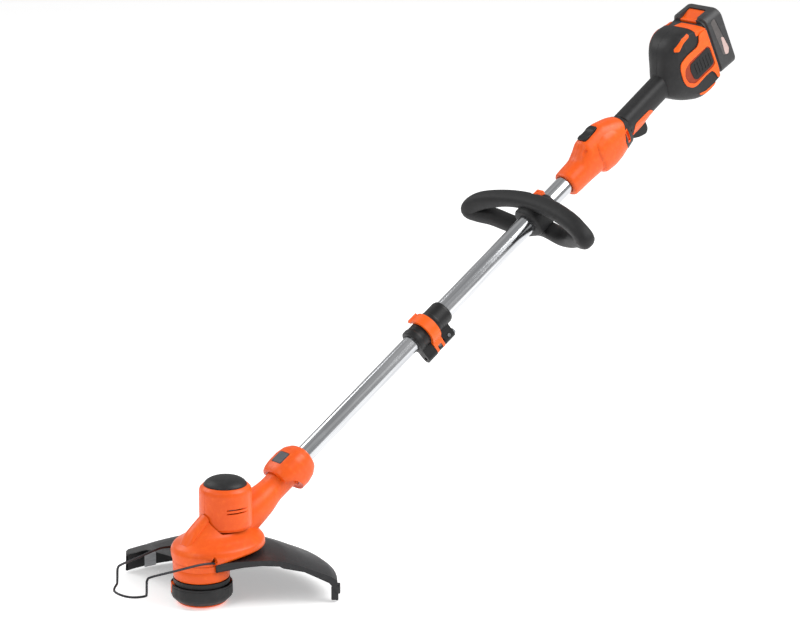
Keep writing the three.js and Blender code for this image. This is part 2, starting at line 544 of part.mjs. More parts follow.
// ---- guard --------------------------------------------------------------------------------------------
const guardRoot = { radius: 43, left: -100, right: 115 }; // about the spool axis
const guardRim = { left: -42, right: 95 }; // about the centre of the rim circle
const onCircle = (cx, cy, radius, degrees) => {
  const t = degToRad(degrees);
  return new THREE.Vector3(cx + radius * Math.cos(t), cy + radius * Math.sin(t), 0);
};
const guardTopLine = [[0, 64], [0.2, 65.5], [0.42, 65], [0.56, 62], [0.7, 54.5], [0.85, 44], [0.95, 37], [1, 31]];
// One section of the guard: a sloping top from the head to the rim, and a skirt below the rim. The top
// sags a little towards the right end.
function guardSection(part, skirt, skin) {
  const sag = 7 * smoothstep(part, 0.5, 1);
  const root = onCircle(0, 0, guardRoot.radius, lerp(guardRoot.left, guardRoot.right, part));
  const rim = onCircle(rimCircle.x, rimCircle.y, rimCircle.radius, lerp(guardRim.left, guardRim.right, part));
  const at = (k, z) => root.clone().lerp(rim, k).setZ(z - sag * 4 * k * (1 - k));
  const under = guardTopLine.slice(0, -3).reverse().map(([k, z]) => [k, z - skin]);
  const edge = [[0.99, skirt], [0.965, skirt], [0.972, 31], [0.94, 37 - skin], [0.84, 44 - skin]];
  return [...guardTopLine, ...edge, ...under].map(([k, z]) => at(k, z));
}
const skirtAt = (part) => 20 - 17.5 * smoothstep(part, 0.6, 0.74);
const guardParts = [0.014, 0.1, 0.19, 0.28, 0.37, 0.46, 0.54, 0.61, 0.67, 0.74, 0.82, 0.9, 0.986];
const guardTop = loft(guardParts.map((part) => guardSection(part, skirtAt(part), 3)));
const leftFlange = loft([0, 0.0145].map((part) => guardSection(part, 3, 7.5)));
const rightFlange = loft([0.9855, 1].map((part) => guardSection(part, 2, 7.5)));
const headClear = join(
  rodZ(39.2, 20, 61, 36),
  loft(deckLevels.slice(0, 4).map(([z, front, centre, rear]) => egg(z - GAP, front + GAP, centre, rear + GAP))),
);
const wireSlot = join(box(-40, -5, -62, -36, 40, 90), box(-40, -5, 36, 62, 40, 90));
add(headGroup, 'guard', cut(join(guardTop, leftFlange, rightFlange), headClear, wireSlot), charcoal);
const cutterAngle = 84; // about the centre of the rim circle
const cutter = move(turn(box(155, 156.6, -9, 9, 6, 26), 0, 0, cutterAngle), rimCircle.x, rimCircle.y, 0);
add(headGroup, 'line_cutter', cutter, alloy);

// ---- wire edge guide ----------------------------------------------------------------------------------
const guideHalf = [
  [-12, 33, 67], [-12, 40, 67], [-12.8, 44, 67.2], [-18, 44.6, 69], [-38, 43.5, 71], [-73, 38, 69.5], [-108, 32.6, 68],
  [-114, 32, 65], [-115, 32, 60], [-115.5, 32, 47], [-117, 31, 43.5], [-127, 23, 42], [-134, 13, 42], [-136, 0, 42],
];
const guidePath = [
  ...guideHalf,
  ...guideHalf.slice(0, -1).reverse().map(([x, y, z]) => [x, -y, z]),
];
add(headGroup, 'edge_guide', bar(guidePath, 1.6, 64, 6), darkSteel);

export default trimmer;
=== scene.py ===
import math

import bmesh
import bpy
import numpy as np
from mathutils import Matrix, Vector


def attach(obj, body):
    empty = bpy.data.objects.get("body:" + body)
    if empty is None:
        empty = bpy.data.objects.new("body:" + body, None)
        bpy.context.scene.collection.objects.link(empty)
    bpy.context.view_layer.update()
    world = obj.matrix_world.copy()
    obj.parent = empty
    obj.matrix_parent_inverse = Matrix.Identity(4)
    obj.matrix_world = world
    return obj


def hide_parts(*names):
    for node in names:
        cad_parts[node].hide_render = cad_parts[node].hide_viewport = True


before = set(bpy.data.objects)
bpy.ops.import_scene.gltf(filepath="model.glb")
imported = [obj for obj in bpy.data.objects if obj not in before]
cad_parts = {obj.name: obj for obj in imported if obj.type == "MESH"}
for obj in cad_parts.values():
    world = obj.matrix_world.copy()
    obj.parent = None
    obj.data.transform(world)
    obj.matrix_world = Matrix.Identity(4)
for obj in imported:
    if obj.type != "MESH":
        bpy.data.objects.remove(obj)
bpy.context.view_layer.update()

# ---- frames of the trimmer, in millimetres ---------------------------------------------------------------
TAU = 2 * np.pi
SHAFT_ANGLE = math.radians(31.9)
SHAFT_FOOT = (151.3, 0, 150)
PACK_ANGLE = math.radians(26)
PACK_S = 828
PACK_FACE = 91
BATTERY_END = 128.5
MOTOR_X = 42
UPPER_R = 14
LOWER_R = 12.7


class Axes:
    """A set of axes turned about Y: local [x, y, z] to the trimmer's own frame."""

    def __init__(self, origin, angle):
        self.origin = np.array(origin, float)
        self.x = np.array([math.cos(angle), 0, math.sin(angle)])
        self.z = np.array([-math.sin(angle), 0, math.cos(angle)])

    def __call__(self, local):
        local = np.asarray(local, float)
        sideways = local[..., 1:2] * np.array([0, 1, 0])
        return self.origin + local[..., :1] * self.x + sideways + local[..., 2:3] * self.z


GROUND = Axes((0, 0, 0), 0)
MOTOR = Axes((MOTOR_X, 0, 0), 0)
SHAFT = Axes(SHAFT_FOOT, SHAFT_ANGLE)
PACK = Axes(SHAFT([PACK_S, 0, 0]), PACK_ANGLE)


# ---- lines and surfaces ----------------------------------------------------------------------------------
def smooth(stations, at):
    """Every column of a table of stations at new values of its first column, on cubic curves whose slope at a
    station is the harmonic mean of the slopes either side, so they never overshoot."""
    table = np.asarray(stations, float)
    x = table[:, 0]
    slope = np.diff(table, axis=0) / np.diff(x)[:, None]
    before, after = slope[:-1], slope[1:]
    same = before * after > 0
    mean = np.divide(2 * before * after, before + after, out=np.zeros_like(before), where=same)
    tangent = np.vstack([slope[:1], mean, slope[-1:]])
    cell = np.clip(np.searchsorted(x, at, "right") - 1, 0, len(x) - 2)
    width = (x[cell + 1] - x[cell])[:, None]
    t = (np.asarray(at) - x[cell])[:, None] / width
    start, end = table[cell], table[cell + 1]
    return (
        (1 + 2 * t) * (1 - t) ** 2 * start + t * (1 - t) ** 2 * width * tangent[cell]
        + t * t * (3 - 2 * t) * end + t * t * (t - 1) * width * tangent[cell + 1]
    )


def step(value, low, high):
    """Smooth step from 0 to 1."""
    t = np.clip((value - low) / (high - low), 0, 1)
    return t * t * (3 - 2 * t)


def fillet(points, radius, steps=5, loop=False):
    """A line of points with each corner replaced by a quadratic arc that starts and ends one radius from it,
    or nearly half of the side if that is shorter."""
    p = np.asarray(points, float)
    before, corner, after = (np.roll(p, 1, 0), p, np.roll(p, -1, 0)) if loop else (p[:-2], p[1:-1], p[2:])
    reach = np.broadcast_to(radius, len(corner))[:, None]
    back, ahead = before - corner, after - corner
    back_length = np.linalg.norm(back, axis=1, keepdims=True)
    ahead_length = np.linalg.norm(ahead, axis=1, keepdims=True)
    start = corner + back / back_length * np.minimum(reach, 0.48 * back_length)
    end = corner + ahead / ahead_length * np.minimum(reach, 0.48 * ahead_length)
    t = np.linspace(0, 1, steps)[None, :, None]
    arcs = (1 - t) ** 2 * start[:, None] + 2 * t * (1 - t) * corner[:, None] + t * t * end[:, None]
    arcs = arcs.reshape(-1, p.shape[1])
    return arcs if loop else np.vstack([p[:1], arcs, p[-1:]])


def evenly(points, count, loop=False):
    """Points spread at equal distances along a smooth curve through the given ones: cubic pieces whose slope
    at each point is that of the chord between its neighbours."""
    p = np.asarray(points, float)
    if loop:
        p = np.vstack([p[-2:], p, p[:3]])
    steps = np.linspace(0, len(p) - 1, 12 * len(p))
    tangent = np.gradient(p, axis=0)
    cell = np.minimum(steps.astype(int), len(p) - 2)
    t = (steps - cell)[:, None]
    line = (
        (1 + 2 * t) * (1 - t) ** 2 * p[cell] + t * (1 - t) ** 2 * tangent[cell]
        + t * t * (3 - 2 * t) * p[cell + 1] + t * t * (t - 1) * tangent[cell + 1]
    )
    if loop:
        line = line[(steps >= 2) & (steps <= len(p) - 3)]
    length = np.concatenate([[0], np.cumsum(np.linalg.norm(np.diff(line, axis=0), axis=1))])
    at = np.linspace(0, length[-1], count, endpoint=not loop)
    return np.stack([np.interp(at, length, line[:, i]) for i in range(line.shape[1])], axis=1)


def closed(grid):
    """A grid of rings with both ends brought to a point at their middle."""
    return np.concatenate([grid[:1] * 0 + grid[0].mean(0), grid, grid[:1] * 0 + grid[-1].mean(0)])


def lathe(profile, axes=GROUND, along="z", segments=96, flutes=0, depth=0):
    """A profile of [radius, height] turned about the axes' z or x; flutes are shallow cosine hollows."""
    radius, height = np.asarray(profile, float).T[:, :, None]
    angle = np.linspace(0, TAU, segments, endpoint=False)[None]
    hollow = depth * (0.5 + 0.5 * np.cos(flutes * angle)) ** 3
    radius = radius * (1 - hollow)
    u, v, w = radius * np.cos(angle), radius * np.sin(angle), height + 0 * angle
    return axes(np.stack([u, v, w] if along == "z" else [w, u, v], axis=-1))


def rounded_ring(count, power):
    """Cosine and sine round a superellipse of unit half widths."""
    angle = TAU * (np.arange(count) + 0.5) / count
    root = [np.sign(f) * np.abs(f) ** (2 / power) for f in (np.cos(angle), np.sin(angle))]
    return root[0][None], root[1][None]


def loft(stations, axes, power=2.4, count=72, edge=1.2, spacing=1.6, grow=0, crease=0):
    """Superellipse sections over stations of [x, top, bottom, half width]; the last `edge` at each end is
    drawn in on a quarter circle. With a crease, straight lines join the stations and turn within that
    distance."""
    first, last = stations[0][0], stations[-1][0]
    turn = np.linspace(0, np.pi / 2, 5)
    rows = max(8, int((last - first) / spacing))
    middle = np.linspace(first + edge, last - edge, rows)[1:-1]
    x = np.concatenate([first + edge * (1 - np.cos(turn)), middle, last - edge * (1 - np.cos(turn[::-1]))])
    inset = np.concatenate([edge * (1 - np.sin(turn)), 0 * middle, edge * (1 - np.sin(turn[::-1]))])
    if crease:
        table = fillet(stations, crease)
        top, bottom, half = (np.interp(x, table[:, 0], table[:, i]) for i in (1, 2, 3))
    else:
        _, top, bottom, half = smooth(stations, x).T
    across, up = rounded_ring(count, power)
    tall = np.where(up > 0, (top - inset + grow)[:, None], (bottom - inset + grow)[:, None])
    grid = np.stack([x[:, None] + 0 * up, (half - inset + grow)[:, None] * across, tall * up], axis=-1)
    return closed(axes(grid))


def egg(levels, axes=GROUND, count=96, rows=60):
    """Egg-shaped sections over levels of [z, front radius, centre, rear radius]: a circle that grows and
    moves from the front to the rear with (1 + cos t) / 2."""
    z = np.linspace(levels[0][0], levels[-1][0], rows)
    _, front, centre, rear = smooth(levels, z).T[:, :, None]
    angle = np.linspace(0, TAU, count, endpoint=False)[None]
    blend = (1 + np.cos(angle)) / 2
    radius = front + (rear - front) * blend
    x, y = centre * blend + radius * np.cos(angle), radius * np.sin(angle)
    return closed(axes(np.stack([x, y, z[:, None] + 0 * angle], axis=-1)))


def plate(outline, low, high, axes, plane="xy"):
    """A closed outline given a thickness, as two rows that get flat ends; plane says which two axes the
    outline is drawn in."""
    ring = np.asarray(outline, float)[None]
    level = np.array([low, high], float)[:, None]
    u, v, w = ring[..., 0] + 0 * level, ring[..., 1] + 0 * level, level + 0 * ring[..., 0]
    order = {"xy": [u, v, w], "xz": [u, w, v], "yz": [w, u, v]}[plane]
    return axes(np.stack(order, axis=-1))


def block(x0, x1, y0, y1, z0, z1, axes, corner=0):
    """A box, with its upright edges rounded if a corner is given."""
    outline = [(x0, y0), (x1, y0), (x1, y1), (x0, y1)]
    return plate(fillet(outline, corner, loop=True) if corner else outline, z0, z1, axes)


ASIDE = (0.31, 0.47, 0.83)


def cable(points, radius, axes=GROUND, sides=16):
    """A circle carried along a line: its first axis is square to the line and to ASIDE."""
    p = np.asarray(points, float)
    tangent = np.gradient(p, axis=0)
    tangent /= np.linalg.norm(tangent, axis=1, keepdims=True)
    first = np.cross(np.broadcast_to(ASIDE, p.shape), tangent)
    first /= np.linalg.norm(first, axis=1, keepdims=True)
    second = np.cross(tangent, first)
    angle = np.linspace(0, TAU, sides, endpoint=False)[None, :, None]
    grid = p[:, None] + radius * np.cos(angle) * first[:, None] + radius * np.sin(angle) * second[:, None]
    return closed(axes(grid))


def spun(grid, degrees):
    """A grid turned about z."""
    turn = math.radians(degrees)
    x, y = grid[..., 0].copy(), grid[..., 1].copy()
    grid[..., 0] = x * math.cos(turn) - y * math.sin(turn)
    grid[..., 1] = x * math.sin(turn) + y * math.cos(turn)
    return grid


def ring_profile(corners, radius, steps=5):
    """A closed profile for a lathe, with rounded corners, back to where it starts."""
    ring = fillet(corners, radius, steps, loop=True)
    return np.vstack([ring, ring[:1]])


def crossbar(radius, reach, centre):
    """A plain round bar across the shaft, along y."""
    bar = lathe([(0, -reach), (radius, -reach), (radius, reach), (0, reach)])
    return SHAFT(bar[..., [0, 2, 1]] + np.array(centre))


def across(side, near, far):
    """The lower and higher y of a cut on one side."""
    return sorted((side * near, side * far))


# ---- meshes ----------------------------------------------------------------------------------------------
def mesh_of(name, grids, wrap=True):
    """One mesh from grids of points in millimetres: each four neighbours make a face, the last column joins
    the first, two rows on their own get flat ends, equal points merge and faces turn outwards."""
    points, faces, base = [], [], 0
    for grid in grids:
        rows, columns = grid.shape[:2]
        index = base + np.arange(rows * columns).reshape(rows, columns)
        right = np.roll(index, -1, 1) if wrap else index[:, 1:]
        left = index if wrap else index[:, :-1]
        quads = np.stack([left[:-1], right[:-1], right[1:], left[1:]], axis=-1).reshape(-1, 4)
        points.append(grid.reshape(-1, 3) * 0.001)
        faces += quads.tolist()
        if rows == 2 and wrap:
            faces += index.tolist()
        base += rows * columns
    mesh = bpy.data.meshes.new(name)
    mesh.from_pydata(np.concatenate(points).tolist(), [], faces)
    tidy = bmesh.new()
    tidy.from_mesh(mesh)
    bmesh.ops.remove_doubles(tidy, verts=tidy.verts, dist=2e-6)
    bmesh.ops.dissolve_degenerate(tidy, edges=tidy.edges, dist=1e-6)
    bmesh.ops.recalc_face_normals(tidy, faces=tidy.faces)
    tidy.to_mesh(mesh)
    tidy.free()
    return mesh


def shape(name, *grids, wrap=True):
    made = bpy.data.objects.new(name, mesh_of(name, grids, wrap))
    bpy.context.scene.collection.objects.link(made)
    return made


def combine(made, operation, *grids):
    """Cuts, joins or keeps what is shared with each grid's solid in turn, and keeps the result as a mesh."""
    tools = [shape("tool", grid) for grid in grids]
    for tool in tools:
        step = made.modifiers.new(operation, "BOOLEAN")
        step.operation = operation
        step.solver = "EXACT"
        step.object = tool
    bpy.context.view_layer.update()
    result = bpy.data.meshes.new_from_object(made.evaluated_get(bpy.context.evaluated_depsgraph_get()))
    made.modifiers.clear()
    made.data = result
    for tool in tools:
        bpy.data.objects.remove(tool)
    return made


def cut(made, *grids):
    return combine(made, "DIFFERENCE", *grids)


def join(made, *grids):
    return combine(made, "UNION", *grids)


def piece(made, body, nodes, slot, finish, sharp=34, bevel=0):
    """Finishes a piece: its shading, its edge rounding, its body, and the CAD nodes it stands for."""
    made.data.materials.clear()
    made.data.materials.append(finish)
    made.data.polygons.foreach_set("use_smooth", [True] * len(made.data.polygons))
    made.data.set_sharp_from_angle(angle=math.radians(sharp))
    if bevel:
        edge = made.modifiers.new("rounded edges", "BEVEL")
        edge.width = bevel * 0.001
        edge.segments = 3
        edge.limit_method = "ANGLE"
        edge.angle_limit = math.radians(40)
        edge.harden_normals = True
    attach(made, body)
    if nodes:
        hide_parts(*nodes)
    return made


FAR = 2000
SEAM = 0.15


def halves(name, build, body, slot, finish, **options):
    """The two sides of a shell that is split along y = 0, left on -Y."""
    for side, low, high in (("left", -FAR, -SEAM), ("right", SEAM, FAR)):
        room = block(-FAR, FAR, low, high, -FAR, FAR, GROUND)
        half = combine(build(f"{name}_{side}_skin"), "INTERSECT", room)
        piece(half, body, [f"{name}_{side}"], slot, finish, **options)


# ---- finishes --------------------------------------------------------------------------------------------
class Shade:
    """A socket in a material; arithmetic on it adds Math nodes."""

    def __init__(self, tree, socket):
        self.tree = tree
        self.socket = socket

    def add(self, kind, settings=None, output=0, **values):
        """Any node: its type, its settings, and the values or links of its sockets by name or number."""
        node = self.tree.nodes.new(kind)
        for key, value in (settings or {}).items():
            setattr(node, key, value)
        for key, value in values.items():
            name = int(key[1:]) if key.startswith("_") else key.replace("_", " ")
            self.plug(node.inputs[name], value)
        return Shade(self.tree, node.outputs[output])

    def plug(self, socket, value):
        if isinstance(value, Shade):
            self.tree.links.new(value.socket, socket)
        else:
            socket.default_value = value

    def maths(self, operation, first, second=0.0):
        return self.add("ShaderNodeMath", {"operation": operation}, _0=first, _1=second)

    def __add__(self, other):
        return self.maths("ADD", self, other)

    def __mul__(self, other):
        return self.maths("MULTIPLY", self, other)

    def __sub__(self, other):
        return self.maths("SUBTRACT", self, other)

    def __rsub__(self, other):
        return self.maths("SUBTRACT", other, self)

    __radd__ = __add__

    def noise(self, scale, detail=3.0, rough=0.5, vector=None):
        where = vector or self.place()
        return self.add("ShaderNodeTexNoise", Vector=where, Scale=scale, Detail=detail, Roughness=rough)

    def place(self, angle=0.0, stretch=(1, 1, 1)):
        """Object coordinates, turned about Y so that x runs along the shaft, then stretched."""
        here = self.add("ShaderNodeTexCoord", None, 3)
        turned = self.add("ShaderNodeMapping", {"vector_type": "POINT"}, Vector=here, Rotation=(0, angle, 0))
        return self.add("ShaderNodeMapping", None, Vector=turned, Scale=stretch)

    def between(self, low, high):
        """Smooth step from 0 to 1."""
        settings = {"interpolation_type": "SMOOTHSTEP"}
        return self.add("ShaderNodeMapRange", settings, Value=self, From_Min=low, From_Max=high)

    def mix(self, first, second):
        """A colour between two, by this value."""
        return self.add("ShaderNodeMix", {"data_type": "RGBA"}, 2, _0=self, _6=first, _7=second)


def rgb(red, green, blue):
    """An sRGB colour of 0 to 255 as linear values."""
    value = np.array([red, green, blue]) / 255
    linear = np.where(value <= 0.04045, value / 12.92, ((value + 0.055) / 1.055) ** 2.4)
    return (*linear.tolist(), 1.0)


def material(name, look, **fixed):
    """A Principled material: constants go on its own sockets, and look() returns what varies and the height
    of the bump."""
    made = bpy.data.materials.new(name)
    made.use_nodes = True
    tree = made.node_tree
    shader = next(n for n in tree.nodes if n.type == "BSDF_PRINCIPLED")
    start = Shade(tree, None)
    for key, value in fixed.items():
        shader.inputs[key.replace("_", " ")].default_value = value
    varied = look(start)
    height, strength, distance = varied.pop("bump", (None, 0, 0))
    for key, value in varied.items():
        start.plug(shader.inputs[key.replace("_", " ")], value)
    if height is not None:
        bump = start.add("ShaderNodeBump", None, 0, Height=height, Strength=strength, Distance=distance)
        tree.links.new(bump.socket, shader.inputs["Normal"])
    return made


def moulded(name, color, dark, light, roughness, grain=1100.0, grain_depth=0.25):
    """Moulded plastic: slow cloudy colour, a finer mottle, spark grain, and rubbed patches that shine."""
    def look(s):
        cloud = s.noise(9.0, 2.0)
        mottle = s.noise(160.0, 4.0, 0.6)
        spark = s.noise(grain, 2.0, 0.7)
        rubbed = s.noise(28.0, 5.0, 0.65).between(0.52, 0.72)
        base = cloud.between(0.35, 0.65).mix(dark, color)
        base = (mottle.between(0.45, 0.8) * 0.35).mix(base, light)
        return {
            "Base_Color": base,
            "Roughness": roughness + (spark - 0.5) * 0.12 - rubbed * 0.07,
            "bump": (spark + mottle * 0.6, grain_depth, 0.0002),
        }
    return material(name, look, Specular_IOR_Level=0.36)


def drawn_metal(name, color, dark, roughness, along=SHAFT_ANGLE, lines=260.0):
    """Drawn or polished metal: fine lines along the shaft, and faint handling marks."""
    def look(s):
        fibre = s.noise(lines, 3.0, 0.6, s.place(along, (0.02, 1, 1)))
        smudge = s.noise(14.0, 5.0, 0.6)
        return {
            "Base_Color": fibre.between(0.3, 0.7).mix(dark, color),
            "Roughness": roughness + (fibre - 0.5) * 0.08 + smudge.between(0.5, 0.75) * 0.08,
            "bump": (fibre, 0.03, 0.0001),
        }
    return material(name, look, Metallic=1.0)


def wound(name, color, dark, axis_scale, roughness=0.45):
    """Wound strands: bands along one axis, with painted shade darkening the grooves."""
    def look(s):
        band = s.add("ShaderNodeTexWave", {"wave_type": "BANDS", "bands_direction": "Z"}, 1, Vector=s.place(),
                     Scale=axis_scale, Distortion=0.4, Detail=1.0)
        # The dark colour between the bands is painted shade in the grooves.
        return {"Base_Color": band.mix(dark, color), "Roughness": roughness + (1 - band) * 0.2,
                "bump": (band, 0.5, 0.0004)}
    return material(name, look)


ORANGE = moulded("orange plastic", rgb(236, 92, 8), rgb(224, 82, 5), rgb(248, 116, 30), 0.4)
# The housing's orange, darkened to paint the shade inside the side panels' recesses.
RECESS_SHADE_ORANGE = moulded("orange plastic with painted recess shade", rgb(150, 48, 8), rgb(128, 38, 5), rgb(182, 70, 20), 0.5)
CHARCOAL = moulded("charcoal plastic", rgb(27, 27, 28), rgb(22, 22, 23), rgb(44, 44, 45), 0.5, 1500.0, 0.45)
BLACK = moulded("black plastic", rgb(14, 14, 15), rgb(10, 10, 11), rgb(26, 26, 27), 0.46, 1300.0, 0.35)
GUARD_GREY = moulded("guard plastic", rgb(29, 29, 31), rgb(23, 23, 25), rgb(52, 52, 55), 0.44, 900.0, 0.4)
PACK_GREY = moulded("battery plastic", rgb(56, 56, 57), rgb(47, 47, 48), rgb(76, 76, 77), 0.48, 1500.0, 0.45)
SOFT_GRIP = moulded("soft grip", rgb(22, 22, 23), rgb(18, 18, 19), rgb(36, 36, 37), 0.6, 2200.0, 0.6)
GREY = moulded("grey button plastic", rgb(52, 53, 60), rgb(44, 45, 52), rgb(72, 73, 80), 0.32)
LABEL = moulded("blank label", rgb(84, 80, 79), rgb(76, 72, 71), rgb(112, 106, 104), 0.38, 500.0, 0.1)
PALE_LABEL = moulded("pale label", rgb(198, 172, 166), rgb(186, 160, 154), rgb(214, 192, 186), 0.38, 500.0,
                     0.1)
NYLON = moulded("natural nylon", rgb(228, 224, 214), rgb(218, 213, 200), rgb(240, 238, 230), 0.45)
BOARD = moulded("circuit board", rgb(30, 92, 60), rgb(24, 78, 50), rgb(50, 120, 80), 0.4)
ALLOY = drawn_metal("polished tube", rgb(206, 207, 209), rgb(176, 178, 181), 0.17)
STEEL = drawn_metal("ground steel", rgb(150, 153, 156), rgb(120, 122, 125), 0.34)
CUTTER = drawn_metal("pressed steel", rgb(178, 180, 182), rgb(150, 152, 155), 0.4, 0.0)
BRASS = drawn_metal("turned brass", rgb(184, 146, 86), rgb(150, 116, 62), 0.32, 0.0)
WIRE = drawn_metal("coated wire", rgb(62, 62, 65), rgb(44, 44, 46), 0.38, 0.0)
# Both wound finishes paint shade into the grooves between their strands.
COPPER = wound("copper windings", rgb(176, 104, 62), rgb(96, 50, 28), 260.0, 0.35)
LINE = wound("cutting line", rgb(178, 76, 44), rgb(100, 36, 20), 95.0)

# ---- shaft tubes -----------------------------------------------------------------------------------------
def tube_profile(outer, inner, start, end):
    """A tube's wall as a closed profile with rounded ends."""
    wall = [(inner, start), (outer, start), (outer, end), (inner, end)]
    return ring_profile(wall, 0.5)


piece(shape("outer_tube", lathe(tube_profile(UPPER_R, 13, 276, 704), SHAFT, "x")), "handle", ["upper_tube"],
      "alloy", ALLOY)
piece(shape("inner_tube", lathe(tube_profile(LOWER_R, 11.5, 6, 530), SHAFT, "x")), "lower_shaft",
      ["lower_tube"], "alloy", ALLOY)

# ---- telescoping clamp -----------------------------------------------------------------------------------
PIVOT_ANGLE = math.radians(160)
PIVOT_REACH = 31
PIVOT = (-PIVOT_REACH * math.sin(PIVOT_ANGLE), PIVOT_REACH * math.cos(PIVOT_ANGLE))


def arc(centre, radius, start, end, count):
    """Points [u, v] on a circle from one angle to another, in degrees."""
    angle = np.radians(np.linspace(start, end, count))
    return np.stack([centre[0] + radius * np.cos(angle), centre[1] + radius * np.sin(angle)], axis=1)


def lug(radius):
    """An ear from the sleeve to the pin, as an outline across the shaft."""
    return np.vstack([arc((0, 0), 16.4, 225, 275, 12), arc(PIVOT, radius, 340, 160, 24)])


def rod(radius, start, end, axes=SHAFT, along="x", segments=48, offset=(0, 0)):
    """A plain round bar, moved sideways by the offset."""
    grid = lathe([(0, start), (radius, start), (radius, end), (0, end)], GROUND, along, segments)
    shift = [0, *offset] if along == "x" else [*offset, 0]
    return axes(grid + np.array(shift))


sleeve = [(0, 262), (16.4, 262), (18.6, 263.4), (18.6, 270), (17.5, 272.5), (17.5, 303), (18, 304), (18, 307),
          (17.5, 308), (17.5, 327), (16, 331), (0, 331)]
clamp = shape("clamp_sleeve", lathe(fillet(sleeve, 0.6), SHAFT, "x"))
join(clamp, plate(lug(7), 264, 282, SHAFT, "yz"), plate(lug(6), 287.6, 294.4, SHAFT, "yz"),
     plate(lug(6), 302, 321, SHAFT, "yz"))
cut(clamp, rod(LOWER_R + 0.3, 255, 275.5, segments=96), rod(UPPER_R + 0.3, 275, 336, segments=96),
    rod(2.7, 255, 335, offset=PIVOT))
piece(clamp, "handle", ["clamp_body"], "black_plastic", BLACK, bevel=0.7)
for name, s in (("ear", 311.5), ("fork", 291)):
    y, h = PIVOT[0] * 0.93, PIVOT[1] * 0.93
    screw = np.array([[s, y - 5, h + 1.8], [s, y - 6.9, h + 2.5]])
    head = shape(f"clamp_{name}_screw", cable(screw, 2.6, axes=SHAFT, sides=32))
    cut(head, cable(screw + (0, -1.5, 0.5), 1.3, axes=SHAFT, sides=6))
    piece(head, "handle", [], "steel", STEEL)
PIN = [(0, 268), (2.5, 268), (2.5, 321.8), (4.2, 321.8), (4.2, 324.6), (1.6, 324.6), (1.6, 323.6), (0, 323.6)]
pin = lathe(fillet(PIN, 0.4), GROUND, "x", 48)
piece(shape("clamp_pin_screw", SHAFT(pin + np.array([0, *PIVOT]))), "handle", ["clamp_pin"], "steel", STEEL)

band = np.vstack([arc((0, 0), 22.4, 52, 225, 50), arc(PIVOT, 6.4, 200, 380, 20), arc((0, 0), 18, 232, 62, 50),
                  [(9.6, 18.2), (12.4, 14.6), (19.5, 15), (16.2, 20)]])
lever = shape("clamp_lever_band", plate(band, 282.6, 299.4, SHAFT, "yz"))
cut(lever, plate(lug(6.8), 287.2, 294.8, SHAFT, "yz"), rod(2.9, 255, 335, offset=PIVOT))
piece(lever, "clamp_lever", ["clamp_lever"], "orange_plastic", ORANGE, bevel=0.7)

# ---- collar where the head turns -------------------------------------------------------------------------
COLLAR = [
    (-24, 23.8, 23.4, 23.2), (-18, 26, 25, 25.4), (-8, 27.2, 27.4, 26.8), (8, 27.2, 27.8, 26.8),
    (20, 25, 25.2, 24.6), (29, 19.8, 20.3, 19.8), (32, 16.5, 16.5, 16.5),
]


def collar(name):
    made = shape(name, loft(COLLAR, SHAFT, 2.7, 96, edge=1.6, spacing=0.8, crease=2.5))
    pocket = block(-10.2, 10.2, -10, 10, 16.6, 40, SHAFT, 2.5)
    bore = [(0, -40), (20, -40), (20, -12), (21.7, -11), (21.7, 4), (13, 4), (13, 40), (0, 40)]
    hollow = lathe(fillet(bore, 0.6), SHAFT, "x")
    return cut(made, hollow, crossbar(30, 60, (-33.5, 0, -19.5)), pocket)


halves("collar", collar, "lower_shaft", "orange_plastic", ORANGE)
button = shape("head_release", block(-9.6, 9.6, -9.4, 9.4, 23.6, 26.9, SHAFT, 2.4))
join(button, block(0.5, 8, -5, 5, 19.5, 24, SHAFT))
piece(button, "head_button", ["head_button"], "grey_plastic", GREY, bevel=0.8)

# ---- loop handle -----------------------------------------------------------------------------------------
LOOP_S = 541
LOOP_HALF = 118
LOOP = [(0, 23), (45, 22), (88, 17), (111, 9), (118, 0), (108, -7), (87, -15), (62, -28), (36, -34)]


def loop_line(count):
    """The loop's middle line: its ends lean towards the head with the square of the distance from the
    shaft."""
    half = np.array(LOOP, float)
    points = np.vstack([half, [(0, -27)], half[:0:-1] * (-1, 1)])
    lean = LOOP_S - 23 * (points[:, 0] / LOOP_HALF) ** 2
    return evenly(np.stack([lean, *points.T], axis=1), count, loop=True)


HUB = [(519, 20, 21, 21), (523, 22, 23, 23), (559, 22, 23, 23), (566, 18, 20, 20)]


def loop_skin(name):
    """The loop's bar is a soft rectangle, deeper along the shaft than it is high and fuller at the sides,
    joined to the hub."""
    p = loop_line(220)
    tangent = (np.roll(p, -1, 0) - np.roll(p, 1, 0)) * (0, 1, 1)
    tangent /= np.linalg.norm(tangent, axis=1, keepdims=True)
    out = np.stack([0 * tangent[:, 0], -tangent[:, 2], tangent[:, 1]], axis=1)
    deep, high = (ring.reshape(1, -1, 1) for ring in rounded_ring(40, 2.5))
    thick = 10 + 2.6 * step(np.abs(p[:, 1]), 30, 100)[:, None, None]
    grid = p[:, None] + 13 * deep * np.array([1, 0, 0]) + thick * high * out[:, None]
    made = shape(name, SHAFT(np.concatenate([grid, grid[:1]])))
    return cut(join(made, loft(HUB, SHAFT, 2.6, edge=1.5)), rod(UPPER_R + 0.3, 500, 590, segments=96))


